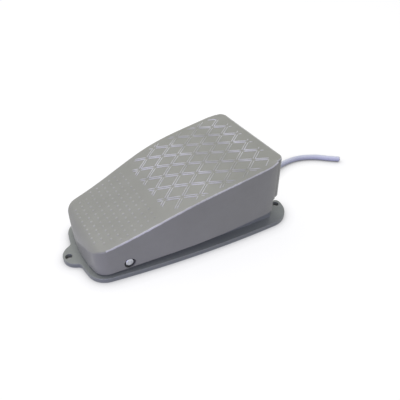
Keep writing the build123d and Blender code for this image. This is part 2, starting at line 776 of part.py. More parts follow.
export_step(cord_grommet.part, "parts/cord_grommet.step")

# Saddle clamp over the cord, with its two screws
with BuildPart() as cord_clamp:
    with BuildSketch(Plane.XZ.offset(-clamp_y - clamp_width / 2)):
        with Locations((0, cord_height)):
            Circle(cord_radius + hole_clearance + clamp_sheet)
        with Locations((0, clamp_pad_top + clamp_sheet / 2)):
            Rectangle(clamp_span, clamp_sheet)
        with Locations((0, (clamp_pad_top + cord_height) / 2)):
            strap = 2 * (cord_radius + hole_clearance + clamp_sheet)
            Rectangle(strap, cord_height - clamp_pad_top)
        with Locations((0, clamp_pad_top - clamp_span / 2)):
            Rectangle(clamp_span, clamp_span, mode=Mode.SUBTRACT)
        with Locations((0, cord_height)):
            Circle(cord_radius + hole_clearance, mode=Mode.SUBTRACT)
        with Locations((0, (clamp_pad_top + cord_height) / 2)):
            Rectangle(strap - 2 * clamp_sheet, cord_height - clamp_pad_top, mode=Mode.SUBTRACT)
    extrude(amount=clamp_width)
    with Locations((0, clamp_y, clamp_pad_top)):
        with GridLocations(clamp_screw_spacing, 0, 2, 1):
            Cylinder(m4_radius + hole_clearance, 4 * clamp_sheet, mode=Mode.SUBTRACT)
cord_clamp.part.label = "cord_clamp"
export_step(cord_clamp.part, "parts/cord_clamp.step")

clamp_screw = screw(m4_radius, m4_head_radius - 0.2, m4_head_height, bracket_pad_height + 2)
with BuildPart() as clamp_screws:
    with Locations((0, clamp_y, clamp_pad_top + clamp_sheet)):
        with GridLocations(clamp_screw_spacing, 0, 2, 1):
            add(clamp_screw)
clamp_screws.part.label = "clamp_screws"
export_step(clamp_screws.part, "parts/clamp_screws.step")

# Earth tag and its screw
with BuildPart() as earth_tag:
    with BuildSketch(Plane.XY.offset(low_pad)):
        with Locations((earth_x, earth_y)):
            Circle(tag_radius)
            Circle(m4_radius + hole_clearance, mode=Mode.SUBTRACT)
    extrude(amount=tag_sheet)
    with Locations(Plane(origin=(earth_x, tag_end_y, low_pad + core_radius), z_dir=(0, -1, 0))):
        Cylinder(core_radius, tag_barrel, align=(Align.CENTER, Align.CENTER, Align.MIN))
earth_tag.part.label = "earth_tag"
export_step(earth_tag.part, "parts/earth_tag.step")

earth_form = screw(m4_radius, m4_head_radius - 0.6, m4_head_height, bracket_pad_height + 2)
with BuildPart() as earth_screw:
    with Locations((earth_x, earth_y, low_pad + tag_sheet)):
        add(earth_form)
earth_screw.part.label = "earth_screw"
export_step(earth_screw.part, "parts/earth_screw.step")

# The three cores inside, from the cord's end to the tabs and the earth tag
side_lane = spring_radius + spring_wire + 4 * core_radius
core_height = switch_floor - tab_length + tab_width / 3
low_lane = cord_height - core_spread / 2
side_step = core_spread * math.cos(math.radians(30))
brown_core = core(
    (-side_step, cord_start, low_lane),
    (-side_step, cord_start - 5, low_lane),
    (-side_lane, spring_y + 8, core_height + 1),
    (-side_lane, spring_y - 8, core_height),
    (-side_lane + 2, tab_places[0] + 6, core_height),
    (-tab_sheet / 2 - 6, tab_places[0], core_height),
    (-tab_sheet / 2, tab_places[0], core_height),
)
brown_core.label = "brown_core"
export_step(brown_core, "parts/brown_core.step")

blue_lane = side_lane + 3 * core_radius
blue_core = core(
    (0, cord_start, cord_height + core_spread),
    (0, cord_start - 5, cord_height + core_spread),
    (-blue_lane, spring_y + 8, core_height + 4),
    (-blue_lane, spring_y - 14, core_height),
    (-blue_lane + 3, tab_places[1] + 8, core_height),
    (-tab_sheet / 2 - 7, tab_places[1], core_height),
    (-tab_sheet / 2, tab_places[1], core_height),
)
blue_core.label = "blue_core"
export_step(blue_core, "parts/blue_core.step")

earth_core = core(
    (side_step, cord_start, low_lane),
    (side_step, cord_start - 5, low_lane),
    (earth_x, tag_end_y + 6, low_pad + core_radius),
    (earth_x, tag_end_y, low_pad + core_radius),
)
earth_core.label = "earth_core"
export_step(earth_core, "parts/earth_core.step")

# The cord: clamped inside, straight out of the grommet, down to the floor and away
cord_rest = cord_radius + 0.1
cord_points = [
    Vector(0, cord_start, cord_height),
    Vector(0, 118.0, cord_height),
    Vector(-17.0, 153.5, cord_rest),
    Vector(-18.5, 181.0, cord_rest),
    Vector(-9.0, 202.0, cord_rest),
    Vector(1.0, 212.5, cord_rest),
    Vector(10.5, 224.0, cord_rest),
]
cord_radii = arc_radii(cord_points)
with BuildPart() as cord:
    with BuildLine() as cord_route:
        FilletPolyline(*cord_points, radius=cord_radii)
    with BuildSketch(Plane(origin=cord_route.line @ 0, z_dir=cord_route.line % 0)):
        Circle(cord_radius)
    sweep()
cord.part.label = "cord"
export_step(cord.part, "parts/cord.step")
section = math.pi * cord_radius**2
print("cord radii", [round(radius, 1) for radius in cord_radii])
cord_length = sum(edge.length for edge in cord_route.line.edges())
print("cord length", round(cord_length, 1))
print("cord volume over section times length", round(cord.part.volume / section / cord_length, 4))

# Ends of the three cores, showing at the cord's cut end
with BuildPart() as cut_cores:
    with BuildSketch(Plane(origin=cord_route.line @ 1, z_dir=cord_route.line % 1)):
        with PolarLocations(core_spread, 3):
            Circle(core_radius)
    extrude(amount=cut_core_length)
cut_cores.part.label = "cut_cores"
export_step(cut_cores.part, "parts/cut_cores.step")
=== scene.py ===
import json
import math
import random

import bmesh
import bpy
from mathutils import Matrix, Vector
from mathutils.bvhtree import BVHTree


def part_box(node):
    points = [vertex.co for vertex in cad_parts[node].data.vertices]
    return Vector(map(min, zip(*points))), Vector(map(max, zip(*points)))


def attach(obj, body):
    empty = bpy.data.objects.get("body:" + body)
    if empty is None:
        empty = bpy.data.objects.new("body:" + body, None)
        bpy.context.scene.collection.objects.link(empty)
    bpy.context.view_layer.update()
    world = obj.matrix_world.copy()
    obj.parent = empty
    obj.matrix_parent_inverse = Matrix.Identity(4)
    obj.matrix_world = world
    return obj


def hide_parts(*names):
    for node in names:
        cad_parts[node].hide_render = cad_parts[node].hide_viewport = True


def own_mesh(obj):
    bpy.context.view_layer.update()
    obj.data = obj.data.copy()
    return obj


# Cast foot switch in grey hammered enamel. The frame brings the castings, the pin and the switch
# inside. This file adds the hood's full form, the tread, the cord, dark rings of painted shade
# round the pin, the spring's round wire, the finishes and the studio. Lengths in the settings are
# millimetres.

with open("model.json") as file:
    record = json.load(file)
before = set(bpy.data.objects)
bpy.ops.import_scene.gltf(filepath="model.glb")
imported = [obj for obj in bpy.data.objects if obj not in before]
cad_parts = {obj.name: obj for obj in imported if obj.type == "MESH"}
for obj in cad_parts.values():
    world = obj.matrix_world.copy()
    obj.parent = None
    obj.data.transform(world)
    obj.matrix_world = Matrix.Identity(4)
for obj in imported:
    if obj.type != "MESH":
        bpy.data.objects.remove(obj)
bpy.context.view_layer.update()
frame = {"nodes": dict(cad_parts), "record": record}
nodes = frame["nodes"]
scene = bpy.context.scene
random.seed(41)
mm = 0.001


# Colours are written as sRGB hex and worked with as linear light
def linearColour(hexText):
    channels = []
    for start in (1, 3, 5):
        value = int(hexText[start:start + 2], 16) / 255
        channels.append(value / 12.92 if value <= 0.04045 else ((value + 0.055) / 1.055) ** 2.4)
    return (*channels, 1.0)


# Adds one node, sets what it is given and joins its inputs
def addNode(tree, kind, settings=None, links=None):
    node = tree.nodes.new(kind)
    for name, value in (settings or {}).items():
        if isinstance(name, str) and hasattr(node, name):
            setattr(node, name, value)
        else:
            node.inputs[name].default_value = value
    for name, socket in (links or {}).items():
        tree.links.new(socket, node.inputs[name])
    return node


def newMaterial(name):
    material = bpy.data.materials.new(name)
    material.use_nodes = True
    material.node_tree.nodes.clear()
    return material


# Camera: solved from the photo's outline, pin, ear holes and cord
cameraSettings = {
    "place": (288.0, -136.8, 284.1),
    "target": (0.0, 34.7, 12.0),
    "lens": 37.70,
    "sensorWidth": 36,
    "clipStart": 0.01,
    "rollDegrees": -0.33,
}
cameraData = bpy.data.cameras.new("photoCamera")
cameraData.lens = cameraSettings["lens"]
cameraData.sensor_width = cameraSettings["sensorWidth"]
cameraData.clip_start = cameraSettings["clipStart"]
camera = bpy.data.objects.new("photoCamera", cameraData)
scene.collection.objects.link(camera)
cameraPlace = Vector(cameraSettings["place"]) * mm
lookLine = Vector(cameraSettings["target"]) * mm - cameraPlace
turn = lookLine.to_track_quat("-Z", "Y").to_matrix().to_4x4()
roll = Matrix.Rotation(math.radians(cameraSettings["rollDegrees"]), 4, "Z")
camera.matrix_world = Matrix.Translation(cameraPlace) @ turn @ roll
scene.camera = camera
print("camera placed")

# Cord: a short grey pigtail that leaves the grommet, drops to the floor and ends cut
cordSettings = {
    "thickness": 6.0,
    "route": [
        (0, 71.45, 12), (0, 118, 12), (-17, 153.5, 3.1), (-18.5, 181, 3.1),
        (-9, 202, 3.1), (1, 212.5, 3.1), (10.5, 224, 3.1),
    ],
    "exit": (0, 95, 12),
    "length": 165.2,
    "order": 3,
    "stepsPerPoint": 24,
    "roundness": 10,
}
cordCurve = bpy.data.curves.new("pigtailCord", "CURVE")
cordCurve.dimensions = "3D"
cordSpline = cordCurve.splines.new("NURBS")
cordSpline.points.add(len(cordSettings["route"]) - 1)
for point, place in zip(cordSpline.points, cordSettings["route"]):
    point.co = (*[value * mm for value in place], 1)
    point.radius = cordSettings["thickness"] / 2 * mm
cordSpline.order_u = cordSettings["order"]
cordSpline.use_endpoint_u = True
cordSpline.resolution_u = cordSettings["stepsPerPoint"]
cordCurve.bevel_depth = 1.0  # each point's radius is the cord's real half thickness
cordCurve.bevel_resolution = cordSettings["roundness"]
cordCurve.use_fill_caps = True
cord = bpy.data.objects.new("pigtailCord", cordCurve)
scene.collection.objects.link(cord)
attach(cord, "base")
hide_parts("cord")
print("cord laid")

# Hood: the frame's casting with the full plan of the real one, whose rear corners are well rounded
# and whose rear and sides belly out a little
hoodSettings = {
    "rearEdge": 91.65, "rearHalf": 56.85,
    "cornerAcross": 12.5, "cornerAlong": 20.0,
    "rearReach": 4.4, "reachPower": 5,
    "sideBelly": 2.4, "bellyFrom": -75.0,
    "cornerCuts": 14, "cutCrowding": 1.5, "slices": range(-70, 70, 10),
    "edgeRadius": 1.87, "edgeCentre": (88.95, 70.6),
    "sharpDegrees": 38,
    # The turned edge round the top gets wear and a painted highlight
    "wearAndHighlightTilt": (0.35, 0.93), "wearAndHighlightRearOf": -80, "wearAndHighlightAbove": 25,
}


# Where a point of the straight-sided casting, in millimetres, lies on the real plan
def hoodPlan(x, y):
    reachX, reachY = hoodSettings["cornerAcross"], hoodSettings["cornerAlong"]
    startX, startY = hoodSettings["rearHalf"] - reachX, hoodSettings["rearEdge"] - reachY
    sideways, rearwards = (abs(x) - startX) / reachX, (y - startY) / reachY
    if sideways > 0 and rearwards > 0:
        inward = max(sideways, rearwards) / math.hypot(sideways, rearwards)
        x = math.copysign(startX + sideways * inward * reachX, x)
        y = startY + rearwards * inward * reachY
    bellyFrom = hoodSettings["bellyFrom"]
    share = (y - bellyFrom) / (hoodSettings["rearEdge"] - bellyFrom)
    share = min(max(share, 0), 1)
    across = min(abs(x) / hoodSettings["rearHalf"], 1)
    belly = hoodSettings["sideBelly"] * across**2 * math.sin(math.pi * share) ** 2
    return (
        x + math.copysign(belly, x),
        y + hoodSettings["rearReach"] * share ** hoodSettings["reachPower"],
    )


hoodForm = bmesh.new()
hoodForm.from_mesh(nodes["pedal_casting"].data)
bmesh.ops.remove_doubles(hoodForm, verts=hoodForm.verts, dist=1e-6)
# Cut lines close together at the corners give the flat walls the points that the new plan needs
cutLines = []
for cut in range(hoodSettings["cornerCuts"] + 1):
    inset = (cut / hoodSettings["cornerCuts"]) ** hoodSettings["cutCrowding"]
    cutLines.append(("y", hoodSettings["rearEdge"] - hoodSettings["cornerAlong"] * inset))
    for side in (-1, 1):
        cutX = side * (hoodSettings["rearHalf"] - hoodSettings["cornerAcross"] * inset)
        cutLines.append(("x", cutX))
for cutY in hoodSettings["slices"]:
    cutLines.append(("y", cutY))
for axis, distance in cutLines:
    direction = Vector((1, 0, 0)) if axis == "x" else Vector((0, 1, 0))
    bmesh.ops.bisect_plane(
        hoodForm,
        geom=hoodForm.verts[:] + hoodForm.edges[:] + hoodForm.faces[:],
        dist=1e-6,
        plane_co=direction * distance * mm,
        plane_no=direction,
    )
edgeRadius = hoodSettings["edgeRadius"]
edgeY, edgeZ = hoodSettings["edgeCentre"]
for vertex in hoodForm.verts:
    # The inner ribs come through the rounded rear edge in two places and are trimmed to it
    beyond, above = vertex.co.y / mm - edgeY, vertex.co.z / mm - edgeZ
    if beyond > 0 and above > 0 and math.hypot(beyond, above) > edgeRadius:
        trim = edgeRadius / math.hypot(beyond, above)
        vertex.co.y -= beyond * (1 - trim) * mm
        vertex.co.z -= above * (1 - trim) * mm
    x, y = hoodPlan(vertex.co.x / mm, vertex.co.y / mm)
    vertex.co.x, vertex.co.y = x * mm, y * mm
pedalMesh = bpy.data.meshes.new("hood_casting")
hoodForm.to_mesh(pedalMesh)
hoodForm.free()
if "custom_normal" in pedalMesh.attributes:  # the stored normals no longer fit the cut faces
    pedalMesh.attributes.remove(pedalMesh.attributes["custom_normal"])
for polygon in pedalMesh.polygons:
    polygon.use_smooth = True
pedalMesh.set_sharp_from_angle(angle=math.radians(hoodSettings["sharpDegrees"]))
# How far the paint is thinned by shoes and hands and lightened as a painted highlight: full on the
# turned edge round the top
hoodWearAndHighlight = pedalMesh.attributes.new("wearAndHighlight", "FLOAT", "POINT")
leastTilt, mostTilt = hoodSettings["wearAndHighlightTilt"]
for vertex in pedalMesh.vertices:
    turned = leastTilt < vertex.normal.z < mostTilt
    rearwards = vertex.co.y > hoodSettings["wearAndHighlightRearOf"] * mm
    high = vertex.co.z > hoodSettings["wearAndHighlightAbove"] * mm
    hoodWearAndHighlight.data[vertex.index].value = 1.0 if turned and rearwards and high else 0.0
hoodCasting = bpy.data.objects.new("hood_casting", pedalMesh)
scene.collection.objects.link(hoodCasting)
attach(hoodCasting, "pedal")
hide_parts("pedal_casting")
print("hood formed", len(pedalMesh.polygons))

# Tread: low dots on the heel zone and crossing double ribs on the sole zone, cast on the hood's top
topSettings = {
    "above": 200.0, "levelAtLeast": 0.9, "searchFrom": 20.0, "searchTo": 60.0, "searchStep": 0.5,
    "tableFrom": -94, "tableTo": 92, "tableStep": 2,
}
pedalSkin = BVHTree.FromPolygons(
    [vertex.co for vertex in pedalMesh.vertices],
    [polygon.vertices for polygon in pedalMesh.polygons],
)


# The skin's place and normal straight below (x, y), or nothing where it isn't the top
def pointOnTop(x, y):
    start = Vector((x * mm, y * mm, topSettings["above"] * mm))
    hit, normal = pedalSkin.ray_cast(start, Vector((0, 0, -1)))[:2]
    if hit is None or normal.z < topSettings["levelAtLeast"]:
        return None, None
    return hit, normal


# Half the flat top's width at y, found by walking outwards until the skin turns down
def halfTop(y):
    x = topSettings["searchFrom"]
    while x < topSettings["searchTo"] and pointOnTop(x, y)[0] is not None:
        x += topSettings["searchStep"]
    return x


tableStep = topSettings["tableStep"]
tableRows = range(topSettings["tableFrom"], topSettings["tableTo"], tableStep)
halfTops = {y: halfTop(y) for y in tableRows}


# A zone of the tread keeps a margin to the top's edge and has rounded corners
def inZone(x, y, zone):
    if not zone["front"] <= y <= zone["rear"]:
        return False
    edge = halfTops[tableStep * round(y / tableStep)] - zone["margin"]
    corner = zone["corner"]
    fromFront = min(y - zone["front"], zone["rear"] - y)
    if fromFront < corner:
        edge -= corner - math.sqrt(max(corner**2 - (corner - fromFront) ** 2, 0))
    return abs(x) <= edge


# Turns a bmesh into a smooth piece on a body; the share given is how far its paint is thinned and
# lightened, partly as a painted highlight
def meshPiece(name, mesh, body, wearAndHighlightShare=0.0):
    data = bpy.data.meshes.new(name)
    mesh.to_mesh(data)
    mesh.free()
    for polygon in data.polygons:
        polygon.use_smooth = True
    if wearAndHighlightShare:
        pieceWearAndHighlight = data.attributes.new("wearAndHighlight", "FLOAT", "POINT")
        for vertex in data.vertices:
            pieceWearAndHighlight.data[vertex.index].value = wearAndHighlightShare
    piece = bpy.data.objects.new(name, data)
    scene.collection.objects.link(piece)
    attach(piece, body)
    return piece


# The dots' crowns get a little of the near-white worn colour, partly as a painted highlight
dotSettings = {
    "front": -86.0, "rear": -27.0, "margin": 5.0, "corner": 8.0,
    "middleY": -58.4, "pitchX": 6.2, "pitchY": 6.5, "reach": 12, "scatter": 0.08,
    "radius": 1.25, "height": 0.42, "lowest": 0.85, "highest": 1.1, "sunk": 0.1,
    "sides": 14, "rings": 4, "wearAndHighlightShare": 0.26,
}


# One low dome that stands on the skin at base
def addDot(mesh, base, normal, height):
    side = normal.cross(Vector((0, 1, 0))).normalized()
    ahead = side.cross(normal)
    sides, rings = dotSettings["sides"], dotSettings["rings"]
    previous = None
    for ring in range(rings):
        angle = math.pi / 2 * ring / rings
        spread = dotSettings["radius"] * math.cos(angle) * mm
        lift = (height * math.sin(angle) - (dotSettings["sunk"] if ring == 0 else 0)) * mm
        loop = []
        for step in range(sides):
            around = 2 * math.pi * step / sides
            offset = side * math.cos(around) * spread + ahead * math.sin(around) * spread
            loop.append(mesh.verts.new(base + offset + normal * lift))
        if previous:
            for step in range(sides):
                after = (step + 1) % sides
                mesh.faces.new((previous[step], previous[after], loop[after], loop[step]))
        previous = loop
    crown = mesh.verts.new(base + normal * height * mm)
    for step in range(sides):
        mesh.faces.new((previous[step], previous[(step + 1) % sides], crown))


dots = bmesh.new()
dotCount = 0
dotReach, scatter = dotSettings["reach"], dotSettings["scatter"]
for row in range(-dotReach, dotReach + 1):
    for column in range(-dotReach, dotReach + 1):
        dotX = column * dotSettings["pitchX"] + random.uniform(-scatter, scatter)
        rowY = dotSettings["middleY"] + row * dotSettings["pitchY"]
        dotY = rowY + random.uniform(-scatter, scatter)
        if not inZone(dotX, dotY, dotSettings):
            continue
        base, normal = pointOnTop(dotX, dotY)
        if base is None:
            continue
        cast = random.uniform(dotSettings["lowest"], dotSettings["highest"])
        addDot(dots, base, normal, dotSettings["height"] * cast)
        dotCount += 1
bmesh.ops.recalc_face_normals(dots, faces=dots.faces)
treadDots = meshPiece("tread_dots", dots, "pedal", dotSettings["wearAndHighlightShare"])
print("tread dots", dotCount)

ribSettings = {
    "front": -23.0, "rear": 87.0, "margin": 4.5, "corner": 16.0,
    "stepX": 8.9, "stepY": 12.6, "startY": 8.3, "rows": range(-6, 10), "columns": range(-8, 9),
    "railGap": 2.1, "railWidth": 1.05, "railHeight": 0.55, "endHeight": 0.25, "crossingGap": 1.3,
    "pieceLength": 1.875, "samples": 24, "fewestSamples": 7,
    "profile": (
        (-0.5, -0.15), (-0.32, 0.6), (-0.12, 0.97), (0.12, 0.97), (0.32, 0.6), (0.5, -0.15),
    ),
    # Where along the top the rails' painted highlight and wear are fainter
    "faintFrom": 28.0, "faintTo": 64.0, "faintShare": 0.5, "fadeOver": 10.0,
}


# One low rounded rail on the skin from start to end, both (x, y) in millimetres
def addRail(mesh, start, end):
    length = math.dist(start, end)
    count = max(2, round(length / ribSettings["pieceLength"]))
    alongX, alongY = (end[0] - start[0]) / length, (end[1] - start[1]) / length
    profile = ribSettings["profile"]
    previous = None
    for step in range(count + 1):
        share = step / count
        x = start[0] + (end[0] - start[0]) * share
        y = start[1] + (end[1] - start[1]) * share
        base, normal = pointOnTop(x, y)
        if base is None:
            previous = None
            continue
        across = normal.cross(Vector((alongX, alongY, 0))).normalized()
        taper = ribSettings["endHeight"] if step in (0, count) else 1.0
        loop = []
        for sideways, lift in profile:
            height = lift * ribSettings["railHeight"] * (taper if lift > 0 else 1)
            offset = across * sideways * ribSettings["railWidth"] * mm + normal * height * mm
            loop.append(mesh.verts.new(base + offset))
        if previous:
            for index in range(len(profile) - 1):
                mesh.faces.new((previous[index], previous[index + 1], loop[index + 1], loop[index]))
        else:
            mesh.faces.new(loop)
        previous = loop
    if previous:
        mesh.faces.new(list(reversed(previous)))


# The points of one rail that lie in the zone, from one crossing to the next
def railInZone(nodeX, nodeY, lean, side):
    reach = math.hypot(ribSettings["stepX"], ribSettings["stepY"])
    alongX, alongY = lean * ribSettings["stepX"] / reach, ribSettings["stepY"] / reach
    shiftX = alongY * side * ribSettings["railGap"] / 2
    shiftY = -alongX * side * ribSettings["railGap"] / 2
    gap, samples = ribSettings["crossingGap"], ribSettings["samples"]
    inside = []
    for sample in range(samples + 1):
        distance = gap + (reach - 2 * gap) * sample / samples
        x = nodeX + alongX * distance + shiftX
        y = nodeY + alongY * distance + shiftY
        if inZone(x, y, ribSettings):
            inside.append((x, y))
    return inside


ribs = bmesh.new()
railCount = 0
for row in ribSettings["rows"]:
    for column in ribSettings["columns"]:
        if (row + column) % 2 == 0:
            continue
        nodeX = column * ribSettings["stepX"]
        nodeY = ribSettings["startY"] + row * ribSettings["stepY"]
        for lean in (-1, 1):
            for side in (-1, 1):
                inside = railInZone(nodeX, nodeY, lean, side)
                if len(inside) >= ribSettings["fewestSamples"]:
                    addRail(ribs, inside[0], inside[-1])
                    railCount += 1
bmesh.ops.recalc_face_normals(ribs, faces=ribs.faces)
treadRibs = meshPiece("tread_ribs", ribs, "pedal", 1.0)
# Painted highlight and wear: the rails are lighter and polished under the ball of the foot and at
# the toe, where the brightest highlights fall, and less between the two
railWearAndHighlight = treadRibs.data.attributes["wearAndHighlight"]
for vertex in treadRibs.data.vertices:
    y = vertex.co.y / mm
    outside = max(ribSettings["faintFrom"] - y, y - ribSettings["faintTo"])
    share = min(max(outside / ribSettings["fadeOver"] + 0.5, 0), 1)
    polishAndSheen = ribSettings["faintShare"] + (1 - ribSettings["faintShare"]) * share
    railWearAndHighlight.data[vertex.index].value = polishAndSheen
print("tread rails", railCount)

# Painted shade rings: a dark rubber torus in the recess round each end of the hinge pin, standing
# in for the shade in the gap between pin and hole
shadeRingSettings = {
    "middleX": 42.95, "pinY": -62.15, "pinZ": 12.8, "radius": 4.62, "thickness": 0.52,
    "around": 48, "across": 14,
}
rings = bmesh.new()
ringAround, ringAcross = shadeRingSettings["around"], shadeRingSettings["across"]
for side in (-1, 1):
    loops = []
    for step in range(ringAround):
        turnAround = 2 * math.pi * step / ringAround
        loop = []
        for part in range(ringAcross):
            turnAcross = 2 * math.pi * part / ringAcross
            outwards = shadeRingSettings["thickness"] * math.sin(turnAcross)
            spread = shadeRingSettings["radius"] + shadeRingSettings["thickness"] * math.cos(turnAcross)
            loop.append(rings.verts.new((
                side * (shadeRingSettings["middleX"] + outwards) * mm,
                (shadeRingSettings["pinY"] + spread * math.cos(turnAround)) * mm,
                (shadeRingSettings["pinZ"] + spread * math.sin(turnAround)) * mm,
            )))
        loops.append(loop)
    for step in range(ringAround):
        here, ahead = loops[step], loops[(step + 1) % ringAround]
        for part in range(ringAcross):
            beside = (part + 1) % ringAcross
            rings.faces.new((here[part], ahead[part], ahead[beside], here[beside]))
bmesh.ops.recalc_face_normals(rings, faces=rings.faces)
pinShadeRings = meshPiece("pin_shade_rings", rings, "pedal")
print("dust rings set")

# Return spring: the same coil as in the frame, as true round wire
springSettings = {
    "radius": 9.0, "wireRadius": 1.2, "turns": 4.0, "stepsPerTurn": 16,
    "order": 4, "stepsPerPoint": 3, "roundness": 4, "keep": 0.86,
}
springLow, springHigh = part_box("return_spring")
springY = (springLow.y + springHigh.y) / 2
springCurve = bpy.data.curves.new("springWire", "CURVE")
springCurve.dimensions = "3D"
springSpline = springCurve.splines.new("NURBS")
springSteps = round(springSettings["turns"] * springSettings["stepsPerTurn"])
springSpline.points.add(springSteps)
springRadius, wireRadius = springSettings["radius"] * mm, springSettings["wireRadius"] * mm
springReach = springHigh.z - springLow.z - 2 * wireRadius
for step in range(springSteps + 1):
    around = 2 * math.pi * step / springSettings["stepsPerTurn"]
    springSpline.points[step].co = (
        springRadius * math.cos(around),
        springY + springRadius * math.sin(around),
        springLow.z + wireRadius + springReach * step / springSteps,
        1,
    )
springSpline.order_u = springSettings["order"]
springSpline.use_endpoint_u = True
springSpline.resolution_u = springSettings["stepsPerPoint"]
springCurve.bevel_depth = wireRadius
springCurve.bevel_resolution = springSettings["roundness"]
springCurve.use_fill_caps = True
springDraft = bpy.data.objects.new("springDraft", springCurve)
scene.collection.objects.link(springDraft)
springMesh = bpy.data.meshes.new_from_object(springDraft)
bpy.data.objects.remove(springDraft)
springWire = bpy.data.objects.new("spring_wire", springMesh)
scene.collection.objects.link(springWire)
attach(springWire, "base")
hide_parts("return_spring")
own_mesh(springWire)
print("spring wound")


# One finish: a drifting colour, a grain that breaks its gloss, and, where it has them, dimples and
# wear whose light colour is partly a painted highlight. Sizes are in real millimetres.
def surface(name, settings):
    material = newMaterial(name)
    tree = material.node_tree
    place = addNode(tree, "ShaderNodeTexCoord")
    stretch = addNode(
        tree, "ShaderNodeMapping",
        {"Scale": settings.get("stretch", (1, 1, 1))}, {"Vector": place.outputs["Object"]},
    )
    # Slow drift of the colour over the surface
    drift = addNode(
        tree, "ShaderNodeTexNoise",
        {"Scale": 1 / (settings["driftSize"] * mm), "Detail": 4.0, "Roughness": 0.6},
        {"Vector": stretch.outputs["Vector"]},
    )
    tones = addNode(tree, "ShaderNodeValToRGB", {}, {"Fac": drift.outputs["Fac"]})
    for index, (position, tone) in enumerate(((0.3, "dark"), (0.7, "light"))):
        tones.color_ramp.elements[index].position = position
        tones.color_ramp.elements[index].color = linearColour(settings[tone])
    colour = tones.outputs["Color"]
    # Fine grain that breaks the gloss
    grain = addNode(
        tree, "ShaderNodeTexNoise",
        {"Scale": 1 / (settings["grainSize"] * mm), "Detail": 3.0, "Roughness": 0.65},
        {"Vector": stretch.outputs["Vector"]},
    )
    gloss = addNode(
        tree, "ShaderNodeMapRange",
        {
            "From Min": 0.3, "From Max": 0.7,
            "To Min": settings["roughness"] - settings["roughnessSpread"],
            "To Max": settings["roughness"] + settings["roughnessSpread"],
        },
        {"Value": grain.outputs["Fac"]},
    )
    roughness = gloss.outputs["Result"]
    if "wearAndHighlightColour" in settings:
        # Paint thinned and polished where a piece says so with its wear attribute, and lightened
        # there to a near-white colour that is partly a painted highlight
        wearAndHighlightHere = addNode(tree, "ShaderNodeAttribute", {"attribute_name": "wearAndHighlight"})
        broken = addNode(
            tree, "ShaderNodeMapRange",
            {"From Min": 0.25, "From Max": 0.6, "To Min": 0.35, "To Max": 1.0},
            {"Value": drift.outputs["Fac"]},
        )
        shareHere = addNode(
            tree, "ShaderNodeMath", {"operation": "MULTIPLY"},
            {0: wearAndHighlightHere.outputs["Fac"], 1: broken.outputs["Result"]},
        )
        # Sockets 6 and 7 are the mix's two colours, and output 2 is the mixed colour
        wearAndHighlightColour = addNode(
            tree, "ShaderNodeMix",
            {"data_type": "RGBA", 7: linearColour(settings["wearAndHighlightColour"])},
            {"Factor": shareHere.outputs["Value"], 6: colour},
        )
        colour = wearAndHighlightColour.outputs[2]
        polishAndSheen = addNode(
            tree, "ShaderNodeMath", {"operation": "MULTIPLY", 1: -settings["wornPolish"]},
            {0: wearAndHighlightHere.outputs["Fac"]},
        )
        smoother = addNode(
            tree, "ShaderNodeMath", {"operation": "ADD"},
            {0: roughness, 1: polishAndSheen.outputs["Value"]},
        )
        roughness = smoother.outputs["Value"]
    bump = addNode(
        tree, "ShaderNodeBump",
        {"Strength": settings["grainStrength"], "Distance": settings["grainDepth"] * mm},
        {"Height": grain.outputs["Fac"]},
    )
    normal = bump.outputs["Normal"]
    if "cellSize" in settings:
        # Hammered enamel: shallow dimples with soft ridges between them
        cells = addNode(
            tree, "ShaderNodeTexVoronoi",
            {"feature": "SMOOTH_F1", "Scale": 1 / (settings["cellSize"] * mm), "Smoothness": 0.8},
            {"Vector": stretch.outputs["Vector"]},
        )
        dimples = addNode(
            tree, "ShaderNodeBump",
            {"Strength": settings["cellStrength"], "Distance": settings["cellDepth"] * mm},
            {"Height": cells.outputs["Distance"], "Normal": normal},
        )
        normal = dimples.outputs["Normal"]
    shader = addNode(
        tree, "ShaderNodeBsdfPrincipled",
        {
            "Metallic": settings.get("metallic", 0.0),
            "IOR": settings.get("ior", 1.5),
            "Coat Weight": settings.get("coat", 0.0),
            "Coat Roughness": settings.get("coatRoughness", 0.1),
        },
        {"Base Color": colour, "Roughness": roughness, "Normal": normal},
    )
    addNode(tree, "ShaderNodeOutputMaterial", {}, {"Surface": shader.outputs["BSDF"]})
    return material


# Sprayed and stoved hammered enamel on a sand casting: a warm grey with soft dimples and a wet
# edge, whose near-white colour is partly worn paint and partly a painted highlight
enamel = {
    "dark": "#909186", "light": "#999A8F", "wearAndHighlightColour": "#DCDDD9", "wornPolish": 0.16,
    "driftSize": 34.0, "grainSize": 0.9, "grainStrength": 0.35, "grainDepth": 0.05,
    "cellSize": 2.8, "cellStrength": 0.3, "cellDepth": 0.3,
    "roughness": 0.44, "roughnessSpread": 0.05, "ior": 1.5, "coat": 0.2, "coatRoughness": 0.2,
}
# The same enamel on the base, a little darker and less yellow
baseEnamel = dict(enamel, dark="#818680", light="#8B9089")
# Centreless ground steel: fine turned lines, bright where it catches the light. The lines are
# drawn coarser than real ones, which would not show.
groundSteel = {
    "dark": "#9FA1A8", "light": "#C9CBD2", "driftSize": 6.0, "grainSize": 0.35,
    "grainStrength": 0.25, "grainDepth": 0.01, "roughness": 0.24, "roughnessSpread": 0.06,
    "metallic": 1.0, "stretch": (1, 3, 3),
}
# Oil tempered spring wire and rolled spring strip: dark, with drawn lines along it
springSteel = {
    "dark": "#6A6B6E", "light": "#8B8C8E", "driftSize": 5.0, "grainSize": 0.4,
    "grainStrength": 0.3, "grainDepth": 0.012, "roughness": 0.34, "roughnessSpread": 0.08,
    "metallic": 1.0, "stretch": (1, 1, 4),
}
# Bright zinc plated steel: a cool pale metal with a faint spangle
zincSteel = {
    "dark": "#AEB1B2", "light": "#CDD0CF", "driftSize": 2.4, "grainSize": 0.3,
    "grainStrength": 0.25, "grainDepth": 0.01, "roughness": 0.30, "roughnessSpread": 0.07,
    "metallic": 1.0,
}
